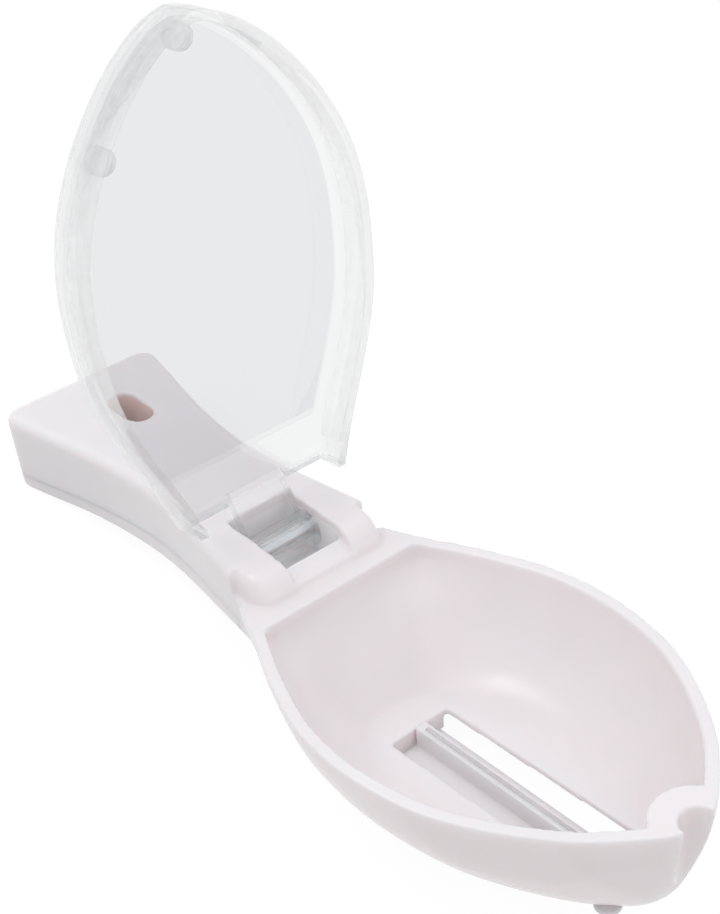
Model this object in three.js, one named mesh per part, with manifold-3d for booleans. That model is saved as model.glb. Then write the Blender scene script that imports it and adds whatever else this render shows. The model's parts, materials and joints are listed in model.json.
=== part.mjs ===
// Hand-held pill splitter: a spoon-shaped base with a leaf-shaped bowl, a slotted
// bowl floor over a fixed blade, a hollow handle and a clear lid on a rear hinge.
//
// Millimetres. Everything is first described in the frame of the bowl's rim:
// the rim is the plane z = 0, +x runs from the handle to the bowl's nose, and the
// object is the same on both sides of y = 0. The whole tool is then tipped about y
// until it stands on its heel and its two rear feet, with the table at z = 0.
import * as THREE from 'three';
import { mergeVertices } from 'three/addons/utils/BufferGeometryUtils.js';
import Module from 'manifold-3d';

const wasm = await Module();
wasm.setup();

// ---------------------------------------------------------------- dimensions
const GAP = 0.3;                  // clearance between neighbouring pieces
const WALL = 1.9;                 // wall of the white mouldings

// bowl
const BOWL_REAR = -6.3;           // rear end of the rim plane
const BOWL_NOSE = 67.3;           // foremost point of the rim
const HULL_DEPTH = 20.6;          // rim to the underside of the skirt
const HULL_SQUARENESS = 1.6;      // exponent of the hull's rounded wall
const HULL_NARROWING = 0.36;      // width at the underside / width at the rim
const HULL_BOTTOM = [8, 57];      // x range of the underside
const FLOOR_REAR_DEPTH = 17.0;    // rim to the floor, at the rear
const FLOOR_RISE = 0.03;          // the floor rises this much per mm towards the nose
const FLOOR_THICKNESS = 1.2;
const CAVITY_SQUARENESS = 1.8;
const CAVITY_NARROWING = 0.46;
const CAVITY_BOTTOM = [9.5, 57.5];
const CAVITY_REAR = [0, 13.4];    // inner rear corner of the rim: x and half width
const CAVITY_RAMP = 1.15;         // squareness of the ramp down from the rear
const REAR_LIP = 2.2;             // upright part of the rear wall, above the ramp
const RECESS = [13.4, 53.4];      // x range of the recess under the floor
const RECESS_HALF_WIDTH = 8.1;
const NOSE_BOSS_RADIUS = 6;
const NOSE_CENTRE = 65.9;
const NOSE_GROOVE_RADIUS = 2.7;

// pill slot, blade and its carrier
const SLOT = [15.6, 52];
const SLOT_HALF_WIDTH = 5.4;
const CARRIER_HALF_THICKNESS = 1.0;
const CARRIER_FLANGE = 3.8;       // half width of the carrier's bottom flange
const CARRIER_FLANGE_TOP = -19.8;
const CARRIER_BOTTOM = -20.6;
const CARRIER_TOP = -16.6;
const BLADE_THICKNESS = 0.4;
const BLADE_BOTTOM = -19.2;
const BLADE_SHOULDER = -16.7;
const BLADE_EDGE = -16.0;
const BLADE_MARGIN = 1.6;         // carrier left standing at each end of the blade

// handle and neck
const HANDLE_END = -66.4;
const HANDLE_TIP = HANDLE_END - 0.6;
const HANDLE_CORNER = 3.4;        // plan radius of the free end's corners
const HANDLE_FLARE = 0.17;        // growth of the half width per mm at the free end
const NECK_TOP = 4.4;
const HANDLE_TOP_END = 7.1;
const NECK_PLATE_END = -9.2;      // where the neck's top plate meets the lugs
const HANDLE_BOTTOM = -7.0;
const HANDLE_BELLY = 0.9;         // how far the underside sags between heel and neck
const HANDLE_BELLY_X = -28;
const PARTING = -5.3;             // lower edge of the base shell on the handle
const COVER_FRONT = -10;
const TOP_SKIN = 1.9;
const HANG_SLOT_X = [-55.6, -51.2];  // centres of the hang slot's round ends
const HANG_SLOT_Y = 1.7;
const HANG_SLOT_RADIUS = 2.4;
const HANG_SLOT_WALL = 1.4;

// hinge
const HINGE_X = -13.5;
const HINGE_Z = 0.63;
const BARREL_RADIUS = 3.0;
const BARREL_HALF_LENGTH = 5.3;
const PIN_RADIUS = 1.0;
const PIN_HALF_LENGTH = 8.6;
const BORE_RADIUS = PIN_RADIUS + GAP;
const WINDOW = [-18.6, -6.4];
const WINDOW_HALF_WIDTH = 5.7;
const BEARING_OUTER = 8.2;        // |y| of the outer face of the two pin bearings
const POCKET_FLOOR = -2.9;        // floor of the pocket under the barrel
const POCKET_SKIN = 1.6;
const LUG_OUTER = 11.9;
const LUG_INNER = 5.5;

// lid, described closed
const LID_REAR = -6.3;
const LID_RIM = 0.3;
const LID_TOP = 7.9;
const LID_WALL = 1.4;
const LID_REAR_EDGE = 4.6;        // lower edge of the rear wall, above the lugs
const LID_SLOPE_START = 0.4;      // the top slopes down behind this x
const LID_SLOPE_DROP = 2.1;
const LID_OPEN = 94.9;            // degrees from closed to the open stop
const TONGUE_THICKNESS = 1.9;
const TONGUE_HALF_WIDTH = 4.9;
const BUMPER_RADIUS = 1.9;
const BUMPER_HEIGHT = 2.4;

// feet and resting attitude
const FOOT_RADIUS = 1.9;
const FOOT_HEIGHT = 0.6;
const FOOT_REAR_X = 10.7;
const FOOT_FRONT_X = 54.6;
const FOOT_Y = 2.9;
const HEEL_X = -61.5;

// ------------------------------------------------------------ solid geometry
function solid(geometry) {
  const bare = geometry.clone();
  bare.deleteAttribute('normal');
  bare.deleteAttribute('uv');
  const merged = mergeVertices(bare, 1e-4);
  const triVerts = new Uint32Array(merged.index.array);
  const vertProperties = new Float32Array(merged.attributes.position.array);
  return new wasm.Manifold(new wasm.Mesh({ numProp: 3, vertProperties, triVerts }));
}

function geometryOf(manifold) {
  const mesh = manifold.getMesh();
  const geometry = new THREE.BufferGeometry();
  geometry.setAttribute('position', new THREE.BufferAttribute(mesh.vertProperties, 3));
  geometry.setIndex(new THREE.BufferAttribute(mesh.triVerts, 1));
  geometry.computeVertexNormals();
  return geometry;
}

// A closed skin over a stack of rings with equal counts; the first and the last ring
// are capped. Rings run anticlockwise seen from the end of the stack.
function loft(rings) {
  const count = rings[0].length;
  const positions = [];
  const index = [];
  for (const ring of rings) {
    for (const point of ring) positions.push(point.x, point.y, point.z);
  }
  for (let level = 0; level < rings.length - 1; level++) {
    for (let i = 0; i < count; i++) {
      const a = level * count + i;
      const b = level * count + (i + 1) % count;
      index.push(a, b, b + count, a, b + count, a + count);
    }
  }
  for (const [level, flip] of [[0, true], [rings.length - 1, false]]) {
    const flat = rings[level].map((p) => new THREE.Vector3().copy(p));
    const faces = capFaces(flat);
    for (const [a, b, c] of faces) {
      const offset = level * count;
      if (flip) index.push(offset + a, offset + c, offset + b);
      else index.push(offset + a, offset + b, offset + c);
    }
  }
  const geometry = new THREE.BufferGeometry();
  geometry.setAttribute('position', new THREE.Float32BufferAttribute(positions, 3));
  geometry.setIndex(index);
  return geometry;
}

// Triangles over one planar ring, wound the way the ring runs.
function capFaces(ring) {
  const normal = new THREE.Vector3();
  for (let i = 0; i < ring.length; i++) {
    normal.add(new THREE.Vector3().crossVectors(ring[i], ring[(i + 1) % ring.length]));
  }
  normal.normalize();
  const side = Math.abs(normal.x) > 0.9 ? new THREE.Vector3(0, 1, 0) : new THREE.Vector3(1, 0, 0);
  const u = side.sub(normal.clone().multiplyScalar(side.dot(normal))).normalize();
  const v = new THREE.Vector3().crossVectors(normal, u);
  const contour = ring.map((p) => new THREE.Vector2(p.dot(u), p.dot(v)));
  return THREE.ShapeUtils.triangulateShape(contour, []);
}

function box(x, y, z) {
  const geometry = new THREE.BoxGeometry(x[1] - x[0], y[1] - y[0], z[1] - z[0]);
  geometry.translate((x[0] + x[1]) / 2, (y[0] + y[1]) / 2, (z[0] + z[1]) / 2);
  return solid(geometry);
}

// An upright round bar.
function post(radius, x, y, z, segments = 32) {
  const geometry = new THREE.CylinderGeometry(radius, radius, z[1] - z[0], segments);
  geometry.rotateX(Math.PI / 2);
  geometry.translate(x, y, (z[0] + z[1]) / 2);
  return solid(geometry);
}

// A round bar across the tool, centred on the hinge axis.
function crossBar(radius, halfLength, segments = 32) {
  const geometry = new THREE.CylinderGeometry(radius, radius, 2 * halfLength, segments);
  geometry.translate(HINGE_X, 0, HINGE_Z);
  return solid(geometry);
}

// A side-view outline (x, z) given a width across the tool.
function sideProfile(outline, y) {
  const shape = new THREE.Shape(outline.map(([x, z]) => new THREE.Vector2(x, z)));
  const geometry = new THREE.ExtrudeGeometry(shape, { depth: y[1] - y[0], bevelEnabled: false });
  geometry.rotateX(Math.PI / 2);
  geometry.translate(0, y[1], 0);
  return solid(geometry);
}

// The mirror pair of a solid that was made on the +y side.
const pair = (half) => half.add(half.mirror([0, 1, 0]));

// ----------------------------------------------------------- plan outlines
// Half of a leaf outline, rear to nose, drawn as one smooth curve.
function leaf(points, divisions) {
  const curve = new THREE.SplineCurve(points.map(([x, y]) => new THREE.Vector2(x, y)));
  return curve.getSpacedPoints(divisions);
}

// Both halves as one closed ring, anticlockwise from above.
function closedRing(half) {
  const port = half.map((p) => new THREE.Vector2(p.x, p.y));
  const starboard = half.map((p) => new THREE.Vector2(p.x, -p.y));
  const nose = port[port.length - 1].y < 1e-6 ? 1 : 0;
  return [...starboard, ...port.reverse().slice(nose)];
}

// The ring moved inwards by a distance, its corners mitred.
function inset(ring, distance) {
  return ring.map((point, i) => {
    const before = ring[(i + ring.length - 1) % ring.length];
    const after = ring[(i + 1) % ring.length];
    const arriving = point.clone().sub(before).normalize();
    const leaving = after.clone().sub(point).normalize();
    const inward = new THREE.Vector2(-arriving.y - leaving.y, arriving.x + leaving.x);
    return point.clone().addScaledVector(inward, distance / (1 + arriving.dot(leaving)));
  });
}

const RIM_HALF = leaf([
  [BOWL_REAR, 13.7], [0, 16.2], [6, 19.2], [13, 22.1], [20, 24.3], [29.5, 25.1],
  [40, 23.6], [47, 20.8], [53, 17.2], [59, 12.5], [64.6, 5.9], [66.4, 3.2], [BOWL_NOSE, 0],
], 34);
const RIM_RING = closedRing(RIM_HALF);

// -------------------------------------------------------------------- bowl
// A wall that leaves the rim upright and rounds over to a flat, narrower bottom.
function roundedVessel(ring, depthAt, squareness, narrowing, bottom, levels) {
  const rear = Math.min(...ring.map((p) => p.x));
  const nose = Math.max(...ring.map((p) => p.x));
  const rings = [];
  for (let level = levels; level >= 0; level--) {
    const drop = Math.sin((level / levels) * Math.PI / 2);
    const spread = Math.pow(Math.max(0, 1 - Math.pow(drop, squareness)), 1 / squareness);
    rings.push(ring.map((p) => {
      const bottomX = bottom[0] + (p.x - rear) * (bottom[1] - bottom[0]) / (nose - rear);
      const x = bottomX + (p.x - bottomX) * spread;
      const y = p.y * (narrowing + (1 - narrowing) * spread);
      return new THREE.Vector3(x, y, -drop * depthAt(x));
    }));
  }
  return rings;
}

const floorDepth = (x) => FLOOR_REAR_DEPTH - FLOOR_RISE * (x - SLOT[0]);

function bowlHull() {
  const rings = roundedVessel(RIM_RING, () => HULL_DEPTH, HULL_SQUARENESS,
    HULL_NARROWING, HULL_BOTTOM, 9);
  return solid(loft(rings));
}

// The ring with its corners worn round, keeping the count of its points.
function softened(ring, passes) {
  let soft = ring;
  for (let pass = 0; pass < passes; pass++) {
    soft = soft.map((point, i) => {
      const before = soft[(i + soft.length - 1) % soft.length];
      const after = soft[(i + 1) % soft.length];
      return before.clone().add(after).multiplyScalar(0.25).addScaledVector(point, 0.5);
    });
  }
  return soft;
}

const smoothStep = (t) => THREE.MathUtils.smoothstep(t, 0, 1);

// Outline of the bowl's mouth, with a straight rear edge split into even steps.
function mouthRing() {
  const [rearX, rearY] = CAVITY_REAR;
  const side = inset(RIM_RING, WALL).filter((p) => p.x > rearX + 1.5);
  const ring = [new THREE.Vector2(rearX, -rearY), ...side, new THREE.Vector2(rearX, rearY)];
  for (let i = 1; i < 10; i++) {
    ring.push(new THREE.Vector2(rearX, rearY * (1 - i / 5)));
  }
  return ring;
}

// The bowl's hollow: steep sides, and a ramp that starts under the upright rear lip.
function bowlCavity() {
  const sharp = mouthRing();
  const round = softened(sharp, 10);
  const nose = Math.max(...sharp.map((p) => p.x));
  const levels = 9;
  const rings = [];
  for (let level = levels; level >= 0; level--) {
    const drop = Math.sin((level / levels) * Math.PI / 2);
    const blend = smoothStep(drop / 0.4);
    rings.push(sharp.map((corner, i) => {
      const p = corner.clone().lerp(round[i], blend);
      const sideways = smoothStep((corner.x - CAVITY_REAR[0]) / 16);
      const squareness = CAVITY_RAMP + (CAVITY_SQUARENESS - CAVITY_RAMP) * sideways;
      const spread = Math.pow(Math.max(0, 1 - Math.pow(drop, squareness)), 1 / squareness);
      const along = (p.x - CAVITY_REAR[0]) / (nose - CAVITY_REAR[0]);
      const low = CAVITY_BOTTOM[0] + along * (CAVITY_BOTTOM[1] - CAVITY_BOTTOM[0]);
      const x = low + (p.x - low) * spread;
      const y = p.y * (CAVITY_NARROWING + (1 - CAVITY_NARROWING) * spread);
      const lip = REAR_LIP * (1 - sideways);
      return new THREE.Vector3(x, y, -lip - drop * (floorDepth(x) - lip));
    }));
  }
  rings.push(sharp.map((p) => new THREE.Vector3(p.x, p.y, 12)));
  const boss = post(NOSE_BOSS_RADIUS, NOSE_CENTRE, 0, [-30, 20]);
  return solid(loft(rings)).subtract(boss);
}

// The recess under the floor; its roof follows the floor's slope.
function floorRecess() {
  const roof = (x) => -floorDepth(x) - FLOOR_THICKNESS;
  const outline = [
    [RECESS[0], -30], [RECESS[1], -30], [RECESS[1], roof(RECESS[1])], [RECESS[0], roof(RECESS[0])],
  ];
  return sideProfile(outline, [-RECESS_HALF_WIDTH, RECESS_HALF_WIDTH]);
}

// ---------------------------------------------------------- handle and neck
const HANDLE_WIDTH = new THREE.SplineCurve([
  [HANDLE_END, 14.7], [-60, 13.6], [-52, 11.7], [-44, 10.3], [-36, 9.4], [-29, 9.5],
  [-22, 10.5], [-15, 11.8], [-9, 12.7], [-5, 13.6], [2, 15],
].map(([x, y]) => new THREE.Vector2(x, y)));
const HANDLE_STATIONS = HANDLE_WIDTH.getSpacedPoints(22);

function handleBottom(x) {
  const along = Math.min(1, Math.abs(x - HANDLE_BELLY_X) / 26);
  return HANDLE_BOTTOM - HANDLE_BELLY * (1 + Math.cos(along * Math.PI)) / 2;
}

function handleTop(x) {
  const share = Math.min(1, Math.max(0, (NECK_PLATE_END - x) / (NECK_PLATE_END - HANDLE_END)));
  return NECK_TOP + (HANDLE_TOP_END - NECK_TOP) * share;
}

// A rounded, slightly tapered cross-section, anticlockwise seen from +x.
function section(x, halfWidth, top, bottom, taper, topRadius, bottomRadius) {
  const ring = [];
  const corner = (cy, cz, radius, from) => {
    for (let i = 0; i <= 4; i++) {
      const angle = from + (i / 4) * Math.PI / 2;
      ring.push(new THREE.Vector3(x, cy + radius * Math.cos(angle), cz + radius * Math.sin(angle)));
    }
  };
  const low = halfWidth - taper;
  corner(halfWidth - topRadius, top - topRadius, topRadius, 0);
  corner(-halfWidth + topRadius, top - topRadius, topRadius, Math.PI / 2);
  corner(-low + bottomRadius, bottom + bottomRadius, bottomRadius, Math.PI);
  corner(low - bottomRadius, bottom + bottomRadius, bottomRadius, 1.5 * Math.PI);
  return ring;
}

// The handle's whole outer body, its free end rounded over a quarter turn.
function handleBody() {
  const round = HANDLE_TIP + HANDLE_CORNER;
  const rings = HANDLE_STATIONS.filter((p) => p.x > round + 0.5)
    .map((p) => section(p.x, p.y, handleTop(p.x), handleBottom(p.x), 0.8, 1.4, 1.0));
  for (let step = 0; step <= 6; step++) {
    const angle = (step / 6) * Math.PI / 2;
    const x = round - HANDLE_CORNER * Math.sin(angle);
    const share = 1 - Math.cos(angle);
    const half = HANDLE_STATIONS[0].y + (HANDLE_END - x) * HANDLE_FLARE;
    rings.unshift(section(x, half - HANDLE_CORNER * share, handleTop(x) - 1.2 * share,
      handleBottom(x) + 1.6 * share, 0.8, 1.4, 1.0));
  }
  return solid(loft(rings));
}

function handleHollow() {
  const stations = HANDLE_STATIONS.filter((p) => p.x < -7.5);
  const rings = stations.map((p) => section(Math.max(p.x, HANDLE_END + WALL),
    p.y - WALL, handleTop(p.x) - TOP_SKIN, HANDLE_BOTTOM - 3, 1.0, 0.6, 0.3));
  rings.splice(1, stations[1].x < HANDLE_END + WALL ? 1 : 0);
  return solid(loft(rings));
}

// --------------------------------------------------------------- base shell
function lug() {
  const outline = [
    [NECK_PLATE_END - 1, 0], [-2.6, -0.6], [-2.9, 1.0], [-3.9, 2.5], [-5.2, 3.7],
    [-6.5, 4.15], [NECK_PLATE_END - 1, NECK_TOP],
  ];
  return sideProfile(outline.reverse(), [LUG_INNER, LUG_OUTER]);
}

function windowSill() {
  const outline = [
    [NECK_PLATE_END - 1, -0.6], [-3.0, -0.6], [-3.2, 0.9], [-4.6, 1.6], [WINDOW[1], 2.2],
    [NECK_PLATE_END - 1, 2.4],
  ];
  return sideProfile(outline.reverse(), [-LUG_INNER - 0.2, LUG_INNER + 0.2]);
}

// The block round the barrel: a floor, a rear wall and a bearing on each side.
function hingePocket() {
  const [rear, front] = WINDOW;
  return box([rear - POCKET_SKIN, front - 0.8], [-BEARING_OUTER, BEARING_OUTER],
    [POCKET_FLOOR - POCKET_SKIN, NECK_TOP - 1]);
}

// An upright bar with the outline of the hang slot, grown by a margin.
function hangSlot(margin, z) {
  const radius = HANG_SLOT_RADIUS + margin;
  const ends = HANG_SLOT_X.map((x) => post(radius, x, HANG_SLOT_Y, z));
  const middle = box(HANG_SLOT_X, [HANG_SLOT_Y - radius, HANG_SLOT_Y + radius], z);
  return ends[0].add(ends[1]).add(middle);
}

function baseShell() {
  const aboveRim = box([NECK_PLATE_END, 30], [-40, 40], [0, 40]);
  const neckBulkhead = box([COVER_FRONT + GAP, COVER_FRONT + 4], [-9.5, 9.5], [-6.5, -4.6]);
  const collar = hangSlot(HANG_SLOT_WALL, [PARTING, NECK_TOP]);
  let shell = handleBody().subtract(aboveRim).subtract(handleHollow());
  shell = shell.add(bowlHull()).add(neckBulkhead).add(hingePocket()).add(collar);
  shell = shell.add(pair(lug())).add(windowSill());
  shell = shell.subtract(box([-80, COVER_FRONT + GAP], [-40, 40], [-40, PARTING]));
  const slot = box(SLOT, [-SLOT_HALF_WIDTH, SLOT_HALF_WIDTH], [-30, -10]);
  const endWalls = box([SLOT[0] - 2.2, SLOT[0]], [-4.8, 4.8], [-HULL_DEPTH, -17.6]);
  shell = shell.subtract(bowlCavity()).subtract(floorRecess()).add(endWalls).subtract(slot);
  shell = shell.subtract(post(NOSE_GROOVE_RADIUS, NOSE_CENTRE + 0.6, 0, [-30, 10]));
  shell = shell.subtract(box(WINDOW, [-WINDOW_HALF_WIDTH, WINDOW_HALF_WIDTH],
    [POCKET_FLOOR, 10]));
  shell = shell.subtract(hangSlot(0, [-12, 12]));
  shell = shell.subtract(crossBar(BORE_RADIUS, BEARING_OUTER + 1, 24));
  return shell;
}

// The closing plate under the handle, with the flat heel at its end.
function handleCover(heelCut) {
  const slab = box([-80, COVER_FRONT], [-40, 40], [-40, PARTING - GAP]);
  const cover = handleBody().intersect(slab);
  return cover.subtract(hangSlot(0, [-12, 0])).subtract(heelCut);
}

// ----------------------------------------------------------- blade and carrier
const CARRIER = [SLOT[0] + GAP, SLOT[1] - GAP];
const BLADE = [CARRIER[0] + BLADE_MARGIN, CARRIER[1] - BLADE_MARGIN];

function bladeCarrier() {
  const half = CARRIER_HALF_THICKNESS;
  const bar = box(CARRIER, [-half, half], [CARRIER_BOTTOM, CARRIER_TOP])
    .add(box(CARRIER, [-CARRIER_FLANGE, CARRIER_FLANGE], [CARRIER_BOTTOM, CARRIER_FLANGE_TOP]));
  const grooveHalf = BLADE_THICKNESS / 2 + GAP;
  const groove = box([BLADE[0] - GAP, BLADE[1] + GAP], [-grooveHalf, grooveHalf],
    [BLADE_BOTTOM - GAP, 0]);
  return bar.subtract(groove);
}

function blade() {
  const half = BLADE_THICKNESS / 2;
  const outline = new THREE.Shape([
    [-half, BLADE_BOTTOM], [half, BLADE_BOTTOM], [half, BLADE_SHOULDER],
    [0.03, BLADE_EDGE], [-0.03, BLADE_EDGE], [-half, BLADE_SHOULDER],
  ].map(([y, z]) => new THREE.Vector2(y, z)));
  const geometry = new THREE.ExtrudeGeometry(outline,
    { depth: BLADE[1] - BLADE[0], bevelEnabled: false });
  geometry.rotateX(Math.PI / 2);
  geometry.rotateZ(Math.PI / 2);
  geometry.translate(BLADE[0], 0, 0);
  return solid(geometry);
}

// ----------------------------------------------------------------------- lid
const LID_HALF = leaf([
  [LID_REAR, 13.6], [0, 15.8], [6, 18.5], [13, 21.4], [20, 23.4], [29, 24.2],
  [36.5, 23.9], [44.5, 21.9], [52, 18.1], [57, 14.4], [60.3, 11.4], [63.2, 8.0],
  [65.2, 5.0], [66.4, 2.6], [66.8, 0],
], 34);
const LID_RING = closedRing(LID_HALF);

// Ring heights and insets of a tray turned upside down, its edge rounded over.
function lidTray(ring, bottom, top, radius) {
  const levels = [[bottom, 0]];
  for (let i = 0; i <= 4; i++) {
    const angle = (i / 4) * Math.PI / 2;
    levels.push([top - radius * (1 - Math.sin(angle)), radius * (1 - Math.cos(angle))]);
  }
  const rings = levels.map(([z, distance]) => inset(ring, distance)
    .map((p) => new THREE.Vector3(p.x, p.y, z)));
  return solid(loft(rings));
}

// Everything above the sloping rear of the top, lowered by a distance.
function rearSlope(lowered) {
  const outline = [
    [LID_SLOPE_START, LID_TOP - lowered], [LID_REAR - 3, LID_TOP - lowered - LID_SLOPE_DROP * 1.4],
    [LID_REAR - 3, 20], [LID_SLOPE_START, 20],
  ];
  return sideProfile(outline.reverse(), [-30, 30]);
}

function lidTongue() {
  const attach = new THREE.Vector2(LID_REAR + 1.6, LID_REAR_EDGE + 0.9);
  const hinge = new THREE.Vector2(HINGE_X, HINGE_Z);
  const along = attach.clone().sub(hinge).normalize();
  const across = new THREE.Vector2(-along.y, along.x).multiplyScalar(TONGUE_THICKNESS / 2);
  const outline = [
    hinge.clone().sub(across), attach.clone().sub(across),
    attach.clone().add(across), hinge.clone().add(across),
  ].map((p) => [p.x, p.y]);
  return sideProfile(outline, [-TONGUE_HALF_WIDTH, TONGUE_HALF_WIDTH]);
}

function lid() {
  const outer = lidTray(LID_RING, LID_RIM, LID_TOP, 1.3).subtract(rearSlope(0));
  const inner = lidTray(inset(LID_RING, LID_WALL), LID_RIM - 2, LID_TOP - LID_WALL, 0.8)
    .subtract(rearSlope(LID_WALL));
  const underRear = box([LID_REAR - 3, LID_REAR + LID_WALL + 1], [-12.2, 12.2],
    [-5, LID_REAR_EDGE]);
  const barrel = crossBar(BARREL_RADIUS, BARREL_HALF_LENGTH);
  const bore = crossBar(BORE_RADIUS, 20, 24);
  return outer.subtract(inner).subtract(underRear).add(lidTongue()).add(barrel).subtract(bore);
}

const BUMPERS = { lid_bumper_nose: [62.8, 0], lid_bumper_side: [50.6, -14.9] };

function lidBumper([x, y]) {
  const top = LID_TOP - LID_WALL - GAP;
  return post(BUMPER_RADIUS, x, y, [top - BUMPER_HEIGHT, top], 24);
}

// ------------------------------------------------------------ small pieces
function hingePin() {
  return crossBar(PIN_RADIUS, PIN_HALF_LENGTH, 24);
}

function foot(x, y) {
  const top = -HULL_DEPTH - GAP;
  return post(FOOT_RADIUS, x, y, [top - FOOT_HEIGHT, top], 24);
}

// --------------------------------------------------------- resting attitude
const FOOT_SOLE = -HULL_DEPTH - GAP - FOOT_HEIGHT;
const footEdge = new THREE.Vector2(FOOT_REAR_X - FOOT_RADIUS, FOOT_SOLE);
const heel = new THREE.Vector2(HEEL_X, HANDLE_BOTTOM);
const TILT = Math.atan2(heel.y - footEdge.y, footEdge.x - heel.x);

// Everything below the table, in the rim's frame.
function belowTable() {
  const geometry = new THREE.BoxGeometry(200, 100, 40);
  geometry.translate(0, 0, -20);
  geometry.rotateY(TILT);
  geometry.translate(heel.x, 0, heel.y);
  return solid(geometry);
}

// ------------------------------------------------------------------ assembly
const finishes = {
  white: { color: 0xe9e1e3, roughness: 0.28, metalness: 0 },
  clear: { color: 0xdfe4e8, roughness: 0.06, metalness: 0, transparent: true, opacity: 0.35 },
  steel: { color: 0xb8bbc0, roughness: 0.22, metalness: 1 },
  rubber: { color: 0xdcd6d8, roughness: 0.65, metalness: 0 },
};

const tool = new THREE.Group();
const lidGroup = new THREE.Group();

function place(parent, name, manifold, finish) {
  const material = new THREE.MeshStandardMaterial(finishes[finish]);
  const mesh = new THREE.Mesh(geometryOf(manifold), material);
  mesh.name = name;
  parent.add(mesh);
}

place(tool, 'base_shell', baseShell(), 'white');
place(tool, 'handle_cover', handleCover(belowTable()), 'white');
place(tool, 'blade_carrier', bladeCarrier(), 'white');
place(tool, 'blade', blade(), 'steel');
place(tool, 'hinge_pin', hingePin(), 'steel');
for (const [end, x] of [['rear', FOOT_REAR_X], ['front', FOOT_FRONT_X]]) {
  for (const [side, y] of [['left', FOOT_Y], ['right', -FOOT_Y]]) {
    place(tool, `foot_${end}_${side}`, foot(x, y), 'rubber');
  }
}

place(lidGroup, 'lid', lid(), 'clear');
for (const [name, at] of Object.entries(BUMPERS)) {
  place(lidGroup, name, lidBumper(at), 'clear');
}

// The lid is drawn closed and shown open, swung back about the hinge axis.
lidGroup.position.set(-HINGE_X, 0, -HINGE_Z);
const lidHinge = new THREE.Group();
lidHinge.position.set(HINGE_X, 0, HINGE_Z);
lidHinge.rotation.y = -THREE.MathUtils.degToRad(LID_OPEN);
lidHinge.add(lidGroup);
tool.add(lidHinge);

// Tip the nose up until heel and rear feet share the table, and centre the footprint.
const tilted = new THREE.Group();
tilted.rotation.y = -TILT;
tilted.add(tool);
const model = new THREE.Group();
model.add(tilted);
model.updateMatrixWorld(true);
const bounds = new THREE.Box3().setFromObject(model, true);
const centre = bounds.getCenter(new THREE.Vector3());
tilted.position.set(-centre.x, 0, -bounds.min.z);

export default model;
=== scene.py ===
"""Looks for the pill splitter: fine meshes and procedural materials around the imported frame.

Shapes are drawn in millimetres in the frame of the bowl's rim (rim plane z = 0, +x towards
the nose, +y to the left, the lid in its closed place), and are then carried to the row frame.
"""
import json
import math

import bmesh
import bpy
from mathutils import Matrix, Vector


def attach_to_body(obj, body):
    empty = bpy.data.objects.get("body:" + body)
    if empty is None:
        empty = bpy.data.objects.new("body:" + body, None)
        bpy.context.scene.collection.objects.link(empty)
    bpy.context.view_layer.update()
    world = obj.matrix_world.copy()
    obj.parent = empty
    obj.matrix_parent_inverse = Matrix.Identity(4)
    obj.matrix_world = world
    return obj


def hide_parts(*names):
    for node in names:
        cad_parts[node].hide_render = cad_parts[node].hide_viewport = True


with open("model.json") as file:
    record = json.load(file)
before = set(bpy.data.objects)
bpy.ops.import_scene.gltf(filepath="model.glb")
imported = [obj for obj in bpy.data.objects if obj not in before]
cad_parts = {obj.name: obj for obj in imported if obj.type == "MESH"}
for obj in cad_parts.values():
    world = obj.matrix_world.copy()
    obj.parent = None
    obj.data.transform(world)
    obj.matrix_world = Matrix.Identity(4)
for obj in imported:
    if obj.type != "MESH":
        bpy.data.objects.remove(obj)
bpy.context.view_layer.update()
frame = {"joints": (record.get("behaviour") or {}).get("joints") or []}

# ------------------------------------------------------- driving sizes, in mm
TILT = math.atan2(14.5, 70.3)     # nose-up attitude on the heel and the rear feet
LID_OPEN = math.radians(94.9)     # from the shut lid to the rest pose
GAP = 0.3                         # clearance between separate pieces
SIDES = (-40, 40)                 # clear of the tool on both sides
BEHIND, AHEAD = -80, 20           # clear of the handle's end, and of its join to the bowl

HINGE_X, HINGE_Z = -13.5, 0.63
PIN_RADIUS, PIN_HALF = 1.0, 8.6
BORE_RADIUS = 1.3
BARREL_RADIUS, BARREL_HALF = 3.0, 5.3

WALL = 1.9                        # of the shell
HULL_DEPTH = 20.6                 # the bowl's outside, below its rim
FLOOR_DEPTH, FLOOR_RISE = 17.0, 0.03   # at the slot's rear end, and per mm forwards
SLOT = (15.6, 52.0)               # the pill slot in the bowl's floor
SLOT_HALF = 5.4
BOSS_X, BOSS_RADIUS = 65.9, 6     # the nose boss and the upright notch in it
GROOVE_X, GROOVE_RADIUS = 66.5, 2.7

HANDLE_END = -66.4                # last station of the handle's outline
HANDLE_TIP = -67.0                # the free end, past the rounded corners
HANDLE_CORNER = 3.4
HANDLE_FLARE = 0.17               # growth of the half width per mm towards the free end
HANDLE_WAIST = -28                # where the underside is lowest
NECK_EDGE = -9.2
NECK_TOP, HEEL_TOP = 4.4, 7.1     # height of the handle's back at the neck and at the end
OUTER_EDGES = (0.8, 1.4, 1.0)     # taper, top radius and bottom radius of the handle
INNER_EDGES = (1.0, 0.6, 0.3)     # the same for its hollow
PARTING = -5.3                    # height at which shell and cover meet
COVER_FRONT = -10.0
HEEL = (-61.5, 0, -7.0)           # a point of the heel that rests on the table
COVER_OVERLAP = (0.8, 1.0)        # how far the cover reaches into the shell, forwards and up

WINDOW = (-18.6, -6.4)            # the hinge window in the neck
WINDOW_HALF = 5.7
WINDOW_FLOOR = -2.9
BEARING_HALF = 8.2                # outside of the pin bearings beside the window
LUG_REAR = -10.2

HANG_ENDS = (-51.2, -55.6)        # centres of the hang slot's round ends
HANG_SIDE = 1.7                   # its place left of the centre line
HANG_RADIUS = 2.4
HANG_COLLAR = 1.4                 # wall round it, inside the handle

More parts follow.
